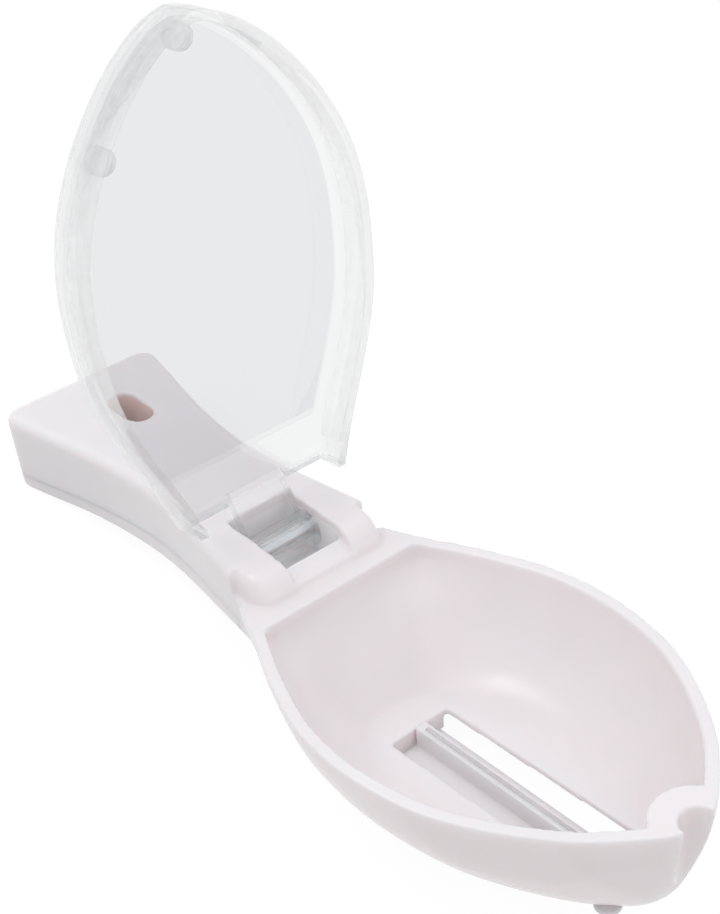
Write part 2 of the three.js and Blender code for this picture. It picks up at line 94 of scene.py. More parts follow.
LID_REAR, LID_RIM, LID_TOP = -6.3, 0.3, 7.9
LID_WALL = 1.4
LID_EDGE, LID_INNER_EDGE = 1.3, 0.8   # radii along the top, outside and inside
REAR_EDGE = 4.6                   # lower edge of the lid's rear wall
REAR_OPENING_HALF = 12.2          # of the opening below that edge
SLOPE_START, SLOPE_DROP = 0.4, 2.94
TONGUE_HALF = 4.9

hinge_world = Vector(frame["joints"][0]["pos_m"])
hinge_local = Vector((HINGE_X, 0, HINGE_Z))
tool_turn = Matrix.Rotation(-TILT, 4, "Y")
TOOL = (Matrix.Translation(hinge_world) @ tool_turn @ Matrix.Scale(0.001, 4)
        @ Matrix.Translation(-hinge_local))
LID = (Matrix.Translation(hinge_world) @ tool_turn @ Matrix.Rotation(-LID_OPEN, 4, "Y")
       @ Matrix.Scale(0.001, 4) @ Matrix.Translation(-hinge_local))


# ------------------------------------------------------------------ outlines
def catmull(points, step=0.6, smooth=30):
    """A smooth polyline with even spacing through a few knots."""
    dense = []
    last = len(points) - 1
    for i in range(last):
        p0, p1 = points[max(i - 1, 0)], points[i]
        p2, p3 = points[i + 1], points[min(i + 2, last)]
        for k in range(40):
            t = k / 40
            dense.append([
                0.5 * (2 * b + (c - a) * t + (2 * a - 5 * b + 4 * c - d) * t * t
                       + (3 * b - a - 3 * c + d) * t ** 3)
                for a, b, c, d in zip(p0, p1, p2, p3)])
    dense.append(list(points[-1]))
    run = [0.0]
    for a, b in zip(dense, dense[1:]):
        run.append(run[-1] + math.dist(a, b))
    count = max(8, round(run[-1] / step))
    out, j = [], 0
    for i in range(count + 1):
        s = run[-1] * i / count
        while j < len(run) - 2 and run[j + 1] < s:
            j += 1
        f = (s - run[j]) / max(run[j + 1] - run[j], 1e-9)
        out.append([a + (b - a) * f for a, b in zip(dense[j], dense[j + 1])])
    for _ in range(smooth):
        out = [out[0]] + [[(a + 2 * b + c) / 4 for a, b, c in zip(*out[i - 1:i + 2])]
                          for i in range(1, len(out) - 1)] + [out[-1]]
    return out


def closed_ring(half):
    """Both halves of an outline, anticlockwise from above, from the rear right corner."""
    nose = 1 if half[-1][1] < 1e-6 else 0
    return [(x, -y) for x, y in half] + [(x, y) for x, y in half[::-1][nose:]]


def inset(ring, distance):
    """The ring moved inwards by a distance, its corners mitred."""
    points = [Vector(p) for p in ring]
    out = []
    for i, point in enumerate(points):
        arriving = (point - points[i - 1]).normalized()
        leaving = (points[(i + 1) % len(points)] - point).normalized()
        way = arriving + leaving
        inward = Vector((-way.y, way.x)) * distance / (1 + arriving.dot(leaving))
        out.append(tuple(point + inward))
    return out


def softened(ring, passes):
    """The ring with its corners worn round."""
    for _ in range(passes):
        ring = [((a[0] + 2 * b[0] + c[0]) / 4, (a[1] + 2 * b[1] + c[1]) / 4)
                for a, b, c in zip(ring[-1:] + ring[:-1], ring, ring[1:] + ring[:1])]
    return ring


def smooth_step(t):
    t = min(1.0, max(0.0, t))
    return t * t * (3 - 2 * t)


def quarter(steps):
    """Angles from 0 to a quarter turn."""
    return [i / steps * math.pi / 2 for i in range(steps + 1)]


# ------------------------------------------------------------ mesh helpers
def mesh_object(name, verts, faces):
    mesh = bpy.data.meshes.new(name)
    mesh.from_pydata([tuple(v) for v in verts], [], faces)
    obj = bpy.data.objects.new(name, mesh)
    bpy.context.scene.collection.objects.link(obj)
    bm = bmesh.new()
    bm.from_mesh(mesh)
    bmesh.ops.recalc_face_normals(bm, faces=bm.faces)
    bm.to_mesh(mesh)
    bm.free()
    return obj


def loft(name, rings, ladder=False):
    """A closed skin over rings of equal count, capped at both ends.

    A ladder cap joins the two mirrored halves of a ring rung by rung.
    """
    n = len(rings[0])
    verts = [p for ring in rings for p in ring]
    cap = [tuple(range(n))]
    if ladder:
        rungs = [(k, k + 1, n - 2 - k, n - 1 - k) for k in range((n - 1) // 2)]
        cap = [r if r[1] != r[2] else (r[0], r[1], r[3]) for r in rungs]
    faces = [face[::-1] for face in cap]
    for level in range(len(rings) - 1):
        for i in range(n):
            a, b = level * n + i, level * n + (i + 1) % n
            faces.append((a, b, b + n, a + n))
    faces += [tuple(i + (len(rings) - 1) * n for i in face) for face in cap]
    return mesh_object(name, verts, faces)


def box(name, x, y, z):
    verts = [(a, b, c) for a in x for b in y for c in z]
    faces = [(0, 1, 3, 2), (4, 6, 7, 5), (0, 4, 5, 1), (2, 3, 7, 6), (0, 2, 6, 4), (1, 5, 7, 3)]
    return mesh_object(name, verts, faces)


def side_profile(name, outline, y):
    """An outline in x and z, drawn out from one y to the other."""
    return loft(name, [[(x, v, z) for x, z in outline] for v in y])


def turned(name, profile, axis, centre, segments=64):
    """A solid of revolution: profile of (along, radius) about the y or z axis."""
    rings = []
    for along, radius in profile:
        ring = []
        for i in range(segments):
            a = 2 * math.pi * i / segments
            u, v = radius * math.cos(a), radius * math.sin(a)
            ring.append((centre[0] + u, centre[1] + v, centre[2] + along) if axis == "z"
                        else (centre[0] + u, centre[1] + along, centre[2] + v))
        rings.append(ring)
    return loft(name, rings)


def rounded_rod(name, radius, half, axis, centre, edge):
    """A rod of twice the half length, both its ends rounded off by the edge radius."""
    profile = [(-half + edge * (1 - math.sin(a)), radius - edge * (1 - math.cos(a)))
               for a in quarter(4)]
    profile = profile[::-1]
    profile += [(-p, r) for p, r in profile[::-1]]
    return turned(name, profile, axis, centre)


def settle(obj):
    """Turns the modifiers' result into the object's own mesh."""
    deps = bpy.context.evaluated_depsgraph_get()
    made = bpy.data.meshes.new_from_object(obj.evaluated_get(deps))
    obj.modifiers.clear()
    old = obj.data
    obj.data = made
    bpy.data.meshes.remove(old)
    return obj


def combine(obj, other, operation):
    mod = obj.modifiers.new("join", "BOOLEAN")
    mod.solver = "MANIFOLD"
    mod.operation = operation
    mod.object = other
    settle(obj)
    bpy.data.objects.remove(other)


def add(obj, other):
    combine(obj, other, "UNION")


def cut(obj, other):
    combine(obj, other, "DIFFERENCE")


def melt(obj, voxel, passes):
    """Rounds every edge a little, as a mould does."""
    mod = obj.modifiers.new("melt", "REMESH")
    mod.mode = "VOXEL"
    mod.voxel_size = voxel
    mod.use_smooth_shade = True
    soft = obj.modifiers.new("soft", "SMOOTH")
    soft.factor = 0.5
    soft.iterations = passes
    settle(obj)


def bevelled(obj, width, segments, angle):
    """Rounds the edges that are sharper than an angle in degrees."""
    edges = obj.modifiers.new("edges", "BEVEL")
    edges.limit_method = "ANGLE"
    edges.angle_limit = math.radians(angle)
    edges.width = width
    edges.segments = segments
    settle(obj)


def finish_piece(obj, matrix, body, surface, node, angle=None):
    """Carries a drawn piece to its place, in its finish, on its body, instead of a CAD node."""
    obj.data.transform(matrix)
    for poly in obj.data.polygons:
        poly.use_smooth = len(poly.vertices) < 5 or poly.area < 2e-5
    if angle is not None:
        obj.data.set_sharp_from_angle(angle=math.radians(angle))
    obj.data.materials.clear()
    obj.data.materials.append(surface)
    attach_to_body(obj, body)
    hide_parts(node)


def region(obj, matrix, inside, surface):
    """Gives the faces whose centres lie in a region of the drawing their own material."""
    obj.data.materials.append(surface)
    back = matrix.inverted()
    for poly in obj.data.polygons:
        if inside(back @ poly.center):
            poly.material_index = len(obj.data.materials) - 1


# --------------------------------------------------------------- materials
def material(name):
    mat = bpy.data.materials.new(name)
    mat.use_nodes = True
    return mat, mat.node_tree.nodes, mat.node_tree.links, mat.node_tree.nodes["Principled BSDF"]


def noise(nodes, links, scale, detail=3.0, roughness=0.5):
    tex = nodes.new("ShaderNodeTexNoise")
    tex.inputs["Scale"].default_value = scale
    tex.inputs["Detail"].default_value = detail
    tex.inputs["Roughness"].default_value = roughness
    coords = nodes.new("ShaderNodeTexCoord")
    links.new(coords.outputs["Object"], tex.inputs["Vector"])
    return tex


def spread(nodes, links, source, low, high):
    """Maps a texture's 0.3 to 0.7 onto a range."""
    ramp = nodes.new("ShaderNodeMapRange")
    ramp.inputs["From Min"].default_value = 0.3
    ramp.inputs["From Max"].default_value = 0.7
    ramp.inputs["To Min"].default_value = low
    ramp.inputs["To Max"].default_value = high
    links.new(source, ramp.inputs["Value"])
    return ramp.outputs["Result"]


def two_tone(nodes, links, source, low, high, target, ends=(0.0, 1.0)):
    """Colours a socket from one tone to another as a texture goes from end to end."""
    ramp = nodes.new("ShaderNodeValToRGB")
    for element, position, colour in zip(ramp.color_ramp.elements, ends, (low, high)):
        element.position = position
        element.color = (*colour, 1)
    links.new(source, ramp.inputs["Fac"])
    links.new(ramp.outputs["Color"], target)


def ripple(nodes, links, scale, detail, strength, distance):
    """A faint unevenness of the surface, as a bump."""
    wave = noise(nodes, links, scale, detail)
    bump = nodes.new("ShaderNodeBump")
    bump.inputs["Strength"].default_value = strength
    bump.inputs["Distance"].default_value = distance
    links.new(wave.outputs["Fac"], bump.inputs["Height"])
    return bump.outputs["Normal"]


def mix_shaders(nodes, links, factor, first, second):
    mix = nodes.new("ShaderNodeMixShader")
    links.new(factor, mix.inputs["Fac"])
    links.new(first, mix.inputs[1])
    links.new(second, mix.inputs[2])
    return mix.outputs["Shader"]


def white_plastic(name, low, high):
    """Glossy moulded plastic that light sinks into a little way."""
    mat, nodes, links, bsdf = material(name)
    cloud = noise(nodes, links, 55.0, 2.0)
    two_tone(nodes, links, cloud.outputs["Fac"], low, high, bsdf.inputs["Base Color"], (0.3, 0.7))
    grain = noise(nodes, links, 900.0, 4.0, 0.6)
    links.new(spread(nodes, links, grain.outputs["Fac"], 0.2, 0.27), bsdf.inputs["Roughness"])
    links.new(ripple(nodes, links, 160.0, 2.0, 0.06, 0.0002), bsdf.inputs["Normal"])
    bsdf.inputs["IOR"].default_value = 1.5
    bsdf.inputs["Subsurface Weight"].default_value = 0.5
    bsdf.inputs["Subsurface Radius"].default_value = (1.0, 0.74, 0.68)
    bsdf.inputs["Subsurface Scale"].default_value = 0.003
    return mat


def clear_plastic(name, tint, body):
    """Clear plastic: a polished skin over a see-through wall with a share of glass body.

    The skin is weaker on back faces, where total reflection would draw dark bands, and the
    glass body lets shadow rays through, so that light reaches what lies behind it.
    """
    mat, nodes, links, bsdf = material(name)
    bsdf.inputs["Base Color"].default_value = (*tint, 1)
    bsdf.inputs["Transmission Weight"].default_value = 1.0
    bsdf.inputs["IOR"].default_value = 1.45
    clear = nodes.new("ShaderNodeBsdfTransparent")
    clear.inputs["Color"].default_value = (*tint, 1)
    skin = nodes.new("ShaderNodeBsdfGlossy")
    edge = nodes.new("ShaderNodeFresnel")
    edge.inputs["IOR"].default_value = 1.45
    smear = noise(nodes, links, 70.0, 5.0, 0.65)
    rough = spread(nodes, links, smear.outputs["Fac"], 0.015, 0.06)
    for target in (bsdf, skin):
        links.new(rough, target.inputs["Roughness"])
    uneven = ripple(nodes, links, 45.0, 1.5, 0.05, 0.0004)
    for target in (bsdf, skin, edge):
        links.new(uneven, target.inputs["Normal"])

    facing = nodes.new("ShaderNodeNewGeometry")
    front = nodes.new("ShaderNodeMath")
    front.operation = "MULTIPLY_ADD"
    front.use_clamp = True
    front.inputs[1].default_value = -0.86
    links.new(facing.outputs["Backfacing"], front.inputs[0])
    links.new(edge.outputs["Fac"], front.inputs[2])
    wall = mix_shaders(nodes, links, front.outputs["Value"],
                       clear.outputs["BSDF"], skin.outputs["BSDF"])

    path = nodes.new("ShaderNodeLightPath")
    solid = nodes.new("ShaderNodeMath")
    solid.operation = "SUBTRACT"
    solid.use_clamp = True
    solid.inputs[0].default_value = body
    links.new(path.outputs["Is Shadow Ray"], solid.inputs[1])
    whole = mix_shaders(nodes, links, solid.outputs["Value"], wall, bsdf.outputs["BSDF"])
    links.new(whole, nodes["Material Output"].inputs["Surface"])
    return mat


def steel(name, colour, rough, stretch):
    """Steel with fine marks, drawn out along the axes where the stretch is small."""
    mat, nodes, links, bsdf = material(name)
    bsdf.inputs["Metallic"].default_value = 1.0
    coords = nodes.new("ShaderNodeTexCoord")
    mapping = nodes.new("ShaderNodeMapping")
    mapping.inputs["Scale"].default_value = stretch
    links.new(coords.outputs["Object"], mapping.inputs["Vector"])
    marks = nodes.new("ShaderNodeTexNoise")
    marks.inputs["Scale"].default_value = 1.0
    marks.inputs["Detail"].default_value = 4.0
    links.new(mapping.outputs["Vector"], marks.inputs["Vector"])
    links.new(spread(nodes, links, marks.outputs["Fac"], rough - 0.08, rough + 0.1),
              bsdf.inputs["Roughness"])
    dull = [c * 0.85 for c in colour]
    two_tone(nodes, links, marks.outputs["Fac"], dull, colour, bsdf.inputs["Base Color"])
    return mat


def foot_rubber(name, low, high):
    mat, nodes, links, bsdf = material(name)
    grain = noise(nodes, links, 1500.0, 4.0)
    two_tone(nodes, links, grain.outputs["Fac"], low, high, bsdf.inputs["Base Color"])
    links.new(spread(nodes, links, grain.outputs["Fac"], 0.55, 0.75), bsdf.inputs["Roughness"])
    return mat


WHITE = white_plastic("white_plastic", (0.845, 0.788, 0.795), (0.87, 0.813, 0.82))
# A lighter copy of the white plastic: painted light that lifts the shade inside the hinge window.
POCKET_PAINTED_LIGHT = white_plastic("white_plastic_pocket_painted_light", (0.96, 0.905, 0.91), (0.975, 0.92, 0.925))
# A pinker, duller copy of the white plastic: painted reddish shade inside the hang slot.
HANG_SLOT_PAINTED_SHADE = white_plastic("white_plastic_slot_painted_shade", (0.88, 0.72, 0.69), (0.9, 0.74, 0.71))
CLEAR = clear_plastic("clear_wall_plastic", tint=(0.925, 0.925, 0.925), body=0.35)
PANEL = clear_plastic("clear_panel_plastic", tint=(0.885, 0.885, 0.89), body=0.0)
BARREL = clear_plastic("clear_barrel_plastic", tint=(0.985, 0.985, 0.985), body=0.5)
PIN = steel("drawn_pin_steel", (0.72, 0.73, 0.75), rough=0.25, stretch=(2000, 60, 2000))
BLADE = steel("ground_blade_steel", (0.94, 0.92, 0.925), rough=0.5, stretch=(60, 4000, 3000))
RUBBER = foot_rubber("pale_foot_rubber", (0.8, 0.76, 0.77), (0.86, 0.82, 0.83))

# -------------------------------------------------------------------- bowl
RIM = closed_ring(catmull([
    (-6.3, 13.7), (0, 16.2), (6, 19.2), (13, 22.1), (20, 24.3), (29.5, 25.1), (40, 23.6),
    (47, 20.8), (53, 17.2), (59, 12.5), (64.6, 5.9), (66.4, 3.2), (67.3, 0)], 0.6, 12))


def floor_depth(x):
    return FLOOR_DEPTH - FLOOR_RISE * (x - SLOT[0])


def falls(levels):
    """Depths from the bottom, 1, up to the rim, 0, closer together near the bottom."""
    return [math.sin(level / levels * math.pi / 2) for level in range(levels, -1, -1)]


def kept_width(drop, power):
    """Share of the rim's width that a bowl of a given roundness keeps at a depth."""
    return max(0.0, 1 - drop ** power) ** (1 / power)


def hull():
    """The bowl's outside, which narrows towards a line along the middle of its bottom."""
    rear, nose = min(p[0] for p in RIM), max(p[0] for p in RIM)
    bottom_rear, bottom_nose, narrow = 8, 57, 0.36
    rings = []
    for drop in falls(28):
        keep = kept_width(drop, 1.6)
        row = []
        for x, y in RIM:
            low = bottom_rear + (x - rear) * (bottom_nose - bottom_rear) / (nose - rear)
            px = low + (x - low) * keep
            row.append((px, y * (narrow + (1 - narrow) * keep), -drop * HULL_DEPTH))
        rings.append(row)
    return loft("hull", rings)


def cavity():
    """The bowl's hollow: steep sides, and a ramp that starts under an upright rear lip."""
    rear_half, rear_points = 13.4, 44
    lip_height, ramp_length, worn_from = 2.2, 16, 0.4
    bottom_rear, bottom_length, narrow = 9.5, 48, 0.46
    mouth = ([(0, -rear_half)] + [p for p in inset(RIM, WALL) if p[0] > 0.6]
             + [(0, rear_half - 2 * rear_half * i / rear_points) for i in range(rear_points)])
    worn = softened(mouth, 134)
    nose = max(x for x, _ in mouth)
    rings = []
    for drop in falls(30):
        blend = smooth_step(drop / worn_from)
        row = []
        for (mx, my), (wx, wy) in zip(mouth, worn):
            x, y = mx + (wx - mx) * blend, my + (wy - my) * blend
            sideways = smooth_step(mx / ramp_length)
            keep = kept_width(drop, 1.15 + 0.65 * sideways)
            low = bottom_rear + x / nose * bottom_length
            px = low + (x - low) * keep
            lip = lip_height * (1 - sideways)
            row.append((px, y * (narrow + (1 - narrow) * keep),
                        -lip - drop * (floor_depth(px) - lip)))
        rings.append(row)
    rings.append([(x, y, 12) for x, y in mouth])
    return loft("cavity", rings)


# ------------------------------------------------------------------ handle
HANDLE = catmull([
    (HANDLE_END, 14.7), (-60, 13.6), (-52, 11.7), (-44, 10.3), (-36, 9.4), (-29, 9.5),
    (-22, 10.5), (-15, 11.8), (-9, 12.7), (-5, 13.6), (2, 15)], 1.0, 30)


def handle_section(x, half, top, bottom, taper, top_radius, bottom_radius, steps=8):
    """An upright ring with four round corners, narrower at the bottom by the taper."""
    ring = []
    low = half - taper
    corners = ((half - top_radius, top - top_radius, top_radius),
               (-half + top_radius, top - top_radius, top_radius),
               (-low + bottom_radius, bottom + bottom_radius, bottom_radius),
               (low - bottom_radius, bottom + bottom_radius, bottom_radius))
    for turn, (cy, cz, radius) in enumerate(corners):
        for i in range(steps + 1):
            a = (turn + i / steps) * math.pi / 2
            ring.append((x, cy + radius * math.cos(a), cz + radius * math.sin(a)))
    return ring


def handle_top(x):
    share = min(1, max(0, (NECK_EDGE - x) / (NECK_EDGE - HANDLE_END)))
    return NECK_TOP + (HEEL_TOP - NECK_TOP) * share


def handle_bottom(x):
    along = min(1, abs(x - HANDLE_WAIST) / 26)
    return -7.0 - 0.9 * (1 + math.cos(along * math.pi)) / 2


def handle_body(name):
    """The whole handle as one solid, its free end rounded off by a quarter turn."""
    start = HANDLE_TIP + HANDLE_CORNER
    end_drop, end_rise = 1.2, 1.6
    rings = [handle_section(x, y, handle_top(x), handle_bottom(x), *OUTER_EDGES)
             for x, y in HANDLE if x > start + 0.5]
    for a in quarter(12):
        x, share = start - HANDLE_CORNER * math.sin(a), 1 - math.cos(a)
        half = HANDLE[0][1] + (HANDLE_END - x) * HANDLE_FLARE - HANDLE_CORNER * share
        rings.insert(0, handle_section(x, half, handle_top(x) - end_drop * share,
                                       handle_bottom(x) + end_rise * share, *OUTER_EDGES))
    return loft(name, rings)


def handle_hollow():
    rows = [(max(x, HANDLE_END + WALL), y) for x, y in HANDLE if x < -7.5]
    rows = [r for i, r in enumerate(rows) if i == 0 or r[0] > rows[i - 1][0] + 1e-6]
    return loft("hollow", [handle_section(x, y - WALL, handle_top(x) - WALL, -10, *INNER_EDGES)
                           for x, y in rows])


def hang_slot(name, margin, z):
    """An upright bar with the stadium outline of the hang slot, grown by a margin."""
    radius = HANG_RADIUS + margin
    outline = []
    for cx, start in zip(HANG_ENDS, (-math.pi / 2, math.pi / 2)):
        for i in range(33):
            a = start + i / 32 * math.pi
            outline.append((cx + radius * math.cos(a), HANG_SIDE + radius * math.sin(a)))
    return loft(name, [[(x, y, v) for x, y in outline] for v in z])


def in_hang_slot(p):
    """Inside the hang slot, its walls included, but below the rounding at its upper edge: the
    faces given a painted reddish shade.
    """
    skin, upper_edge = 0.35, 6.0
    middle, reach = sum(HANG_ENDS) / 2, (HANG_ENDS[0] - HANG_ENDS[1]) / 2
    along = max(0, abs(p.x - middle) - reach)
    return math.hypot(along, p.y - HANG_SIDE) < HANG_RADIUS + skin and p.z < upper_edge


# -------------------------------------------------------------- base shell
def lug(side):
    """One of the two ears beside the lid's tongue, its outer end rounded off."""
    outline = [(LUG_REAR, 0), (-2.6, -0.6), (-2.9, 1.0), (-3.9, 2.5), (-5.2, 3.7), (-6.5, 4.15),
               (LUG_REAR, NECK_TOP)]
    foot, inner, shoulder, rounding = 0.4, 5.5, 9.4, 2.5
    rows = [(inner, 1.0)]
    rows += [(shoulder + rounding * math.sin(a), 0.5 + 0.5 * math.cos(a)) for a in quarter(8)]
    return loft("lug", [[(LUG_REAR + (x - LUG_REAR) * keep, side * y, foot + (z - foot) * keep)
                         for x, z in outline] for y, keep in rows])


def sill():
    """The low rounded edge between the hinge window and the bowl."""
    outline = [(LUG_REAR, -0.6), (-3.0, -0.6), (-3.2, 0.9), (-4.6, 1.6), (-6.4, 2.2),
               (LUG_REAR, 2.4)]
    return side_profile("sill", outline, (-WINDOW_HALF, WINDOW_HALF))


def recess():
    """The space under the bowl's floor that takes the blade carrier."""
    rear, front, half, skin, below = 13.4, 53.4, 8.1, 1.2, -30
    outline = [(rear, below), (front, below), (front, -floor_depth(front) - skin),
               (rear, -floor_depth(rear) - skin)]
    return side_profile("recess", outline, (-half, half))


def hinge_bore(half, segments):
    return turned("bore", [(-half, BORE_RADIUS), (half, BORE_RADIUS)], "y", hinge_local, segments)


def nose_post(name, radius, x, z):
    return turned(name, [(z[0], radius), (z[1], radius)], "z", (x, 0, 0), 96)


def bulkhead():
    """The cross wall at the front of the handle's hollow."""
    return box("bulkhead", (COVER_FRONT + GAP, COVER_FRONT + 4), (-9.5, 9.5), (-6.5, -4.6))


def pocket_block():
    """The solid round the hinge window, with the pin's bearings at its sides."""
    return box("pocket", (-20.2, -7.2), (-BEARING_HALF, BEARING_HALF), (-4.5, 3.4))


def end_wall():
    """The wall below the floor at the slot's rear end."""
    return box("end_wall", (SLOT[0] - 2.2, SLOT[0]), (-4.8, 4.8), (-HULL_DEPTH, -17.6))


def in_pocket(p):
    """Inside the hinge window, its walls and floor included: the faces painted lighter to lift
    their shade.
    """
    skin, upper_edge = 0.3, 3.0
    return (WINDOW[0] - skin < p.x < WINDOW[1] + skin and abs(p.y) < WINDOW_HALF + skin
            and WINDOW_FLOOR - 0.4 < p.z < upper_edge)


def base_shell():
    shell = handle_body("base_shell_fine")
    cut(shell, box("above", (NECK_EDGE, AHEAD), SIDES, (0, 40)))
    cut(shell, handle_hollow())
    add(shell, hull())
    add(shell, bulkhead())
    add(shell, pocket_block())
    add(shell, hang_slot("collar", HANG_COLLAR, (PARTING, NECK_TOP)))
    for side in (1, -1):
        add(shell, lug(side))
    add(shell, sill())
    cut(shell, box("parting", (BEHIND, COVER_FRONT + GAP), SIDES, (-40, PARTING)))
    hollow = cavity()
    cut(hollow, nose_post("boss", BOSS_RADIUS, BOSS_X, (-30, 20)))
    cut(shell, hollow)
    cut(shell, recess())
    add(shell, end_wall())
    cut(shell, box("slot", SLOT, (-SLOT_HALF, SLOT_HALF), (-30, -10)))
    cut(shell, nose_post("groove", GROOVE_RADIUS, GROOVE_X, (-30, 10)))
    cut(shell, box("window", WINDOW, (-WINDOW_HALF, WINDOW_HALF), (WINDOW_FLOOR, 10)))
    cut(shell, hang_slot("hang", 0, (-12, 12)))
    cut(shell, hinge_bore(half=9.2, segments=48))
    melt(shell, voxel=0.3, passes=8)
    finish_piece(shell, TOOL, "base", WHITE, "base_shell")
    # Painted light on the faces of the hinge window, and painted reddish shade in the hang slot.
    region(shell, TOOL, in_pocket, POCKET_PAINTED_LIGHT)
    region(shell, TOOL, in_hang_slot, HANG_SLOT_PAINTED_SHADE)


def under_table():
    """What lies below the surface that the heel stands on."""
    below = box("table", (-120, 120), (-60, 60), (-40, 0))
    below.data.transform(Matrix.Translation(HEEL) @ Matrix.Rotation(TILT, 4, "Y"))
    return below


def handle_cover():
    cover = handle_body("handle_cover_fine")
    forwards, up = COVER_OVERLAP
    cut(cover, box("upper", (BEHIND, AHEAD), SIDES, (PARTING + up, 40)))
    cut(cover, box("front", (COVER_FRONT + forwards, AHEAD), SIDES, SIDES))
    cut(cover, hang_slot("hang", 0, (-12, 0)))
    cut(cover, under_table())
    finish_piece(cover, TOOL, "base", WHITE, "handle_cover", angle=30)
    # Painted reddish shade on the walls of the hang slot in the cover.
    region(cover, TOOL, in_hang_slot, HANG_SLOT_PAINTED_SHADE)


# ---------------------------------------------- carrier, blade, pin and feet
CARRIER = (SLOT[0] + GAP, SLOT[1] - GAP)
CARRIER_TOP, FLANGE_TOP = -16.6, -19.8


def blade_carrier():
    """The bar along the middle of the pill slot, with a flange below and a groove on top."""
    half, flange_half = 1, 3.8
    carrier = box("blade_carrier_fine", CARRIER, (-half, half), (-HULL_DEPTH, CARRIER_TOP))
    add(carrier, box("flange", CARRIER, (-flange_half, flange_half), (-HULL_DEPTH, FLANGE_TOP)))
    bevelled(carrier, width=0.18, segments=3, angle=30)
    groove_half, groove_floor, closed = 0.205, -19.5, 1.3
    cut(carrier, box("groove", (CARRIER[0] + closed, CARRIER[1] - closed),
                     (-groove_half, groove_half), (groove_floor, 0)))
    finish_piece(carrier, TOOL, "base", WHITE, "blade_carrier", angle=40)


def blade():
    """A thin strip, ground from its shoulders to a narrow edge."""
    margin, half, edge_half = 1.6, 0.2, 0.03
    foot, shoulder, edge = -19.2, -16.7, -16.0
    section = [(-half, foot), (half, foot), (half, shoulder), (edge_half, edge),
               (-edge_half, edge), (-half, shoulder)]
    strip = loft("blade_fine", [[(x, y, z) for y, z in section]
                                for x in (CARRIER[0] + margin, CARRIER[1] - margin)])
    finish_piece(strip, TOOL, "base", BLADE, "blade", angle=10)


def hinge_pin():
    pin = rounded_rod("hinge_pin_fine", PIN_RADIUS, PIN_HALF, "y", hinge_local, edge=0.2)
    finish_piece(pin, TOOL, "base", PIN, "hinge_pin", angle=50)


def feet():
    radius, half, aside = 1.9, 0.3, 2.9
    for end, x in (("rear", 10.7), ("front", 54.6)):
        for side, y in (("left", aside), ("right", -aside)):
            name = f"foot_{end}_{side}"
            place = (x, y, -HULL_DEPTH - GAP - half)
            foot = rounded_rod(name + "_fine", radius, half, "z", place, edge=0.18)
            finish_piece(foot, TOOL, "base", RUBBER, name, angle=50)


# --------------------------------------------------------------------- lid
LID_HALF = catmull([
    (LID_REAR, 13.6), (0, 15.8), (6, 18.5), (13, 21.4), (20, 23.4), (29, 24.2),
    (36.5, 23.9), (44.5, 21.9), (52, 18.1), (57, 14.4), (60.3, 11.4), (63.2, 8.0),
    (65.2, 5.0), (66.4, 2.6), (66.8, 0)], 0.8, 12)
LID_RING = closed_ring(LID_HALF[:1] + [p for p in LID_HALF if p[0] > -4.6])


def lid_tray(name, ring, bottom, top, radius):
    """A low block on the lid's outline, its upper edge rounded."""
    rows = [(bottom, 0)]
    rows += [(top - radius * (1 - math.sin(a)), radius * (1 - math.cos(a))) for a in quarter(8)]
    return loft(name, [[(x, y, z) for x, y in inset(ring, d)] for z, d in rows], ladder=True)


def rear_slope(lowered):
    """What the lid's sloping rear end takes off, for the outside or for the inner face."""
    outline = [(SLOPE_START, LID_TOP - lowered), (SLOPE_START, 20), (LID_REAR - 3, 20),
               (LID_REAR - 3, LID_TOP - lowered - SLOPE_DROP)]
    return side_profile("slope", outline, (-30, 30))


def lid_tongue():
    """The flat strip from the lid's rear wall down to the hinge."""
    attach = Vector((LID_REAR + 1.6, REAR_EDGE + 0.9))
    hinge = Vector((HINGE_X, HINGE_Z))
    along = (attach - hinge).normalized()
    across = Vector((-along.y, along.x)) * 0.95
    outline = [tuple(p) for p in (hinge - across, attach - across, attach + across,
                                  hinge + across)]
    return side_profile("tongue", outline, (-TONGUE_HALF, TONGUE_HALF))


def lid_solid():
    lid = lid_tray("lid_fine", LID_RING, LID_RIM, LID_TOP, LID_EDGE)
    cut(lid, rear_slope(0))
    inner = lid_tray("inner", inset(LID_RING, LID_WALL), LID_RIM - 2, LID_TOP - LID_WALL,
                     LID_INNER_EDGE)
    cut(inner, rear_slope(LID_WALL))
    cut(lid, inner)
    cut(lid, box("under_rear", (LID_REAR - 3, LID_REAR + LID_WALL + 1),
                 (-REAR_OPENING_HALF, REAR_OPENING_HALF), (-5, REAR_EDGE)))
    add(lid, lid_tongue())
    add(lid, turned("barrel", [(-BARREL_HALF, BARREL_RADIUS), (BARREL_HALF, BARREL_RADIUS)],
                    "y", hinge_local, 96))
    cut(lid, hinge_bore(half=20, segments=64))
    bevelled(lid, width=0.22, segments=2, angle=35)
    return lid


def lid_finish(lid):
    """The plain finish on the walls, one tint on the broad flat panel, one at the hinge."""
    finish_piece(lid, LID, "lid", CLEAR, "lid", angle=35)
    lid.data.materials.append(PANEL)
    lid.data.materials.append(BARREL)
    panel_way = LID.to_3x3().normalized() @ Vector((0, 0, 1))
    hinge_reach, hinge_half = 0.0095, 0.0055
    for poly in lid.data.polygons:
        if abs(poly.normal.dot(panel_way)) > 0.999 and poly.area > 3e-6:
            poly.use_smooth = False
            poly.material_index = 1
        away = poly.center - hinge_world
        if math.hypot(away.x, away.z) < hinge_reach and abs(away.y) < hinge_half:
            poly.material_index = 2


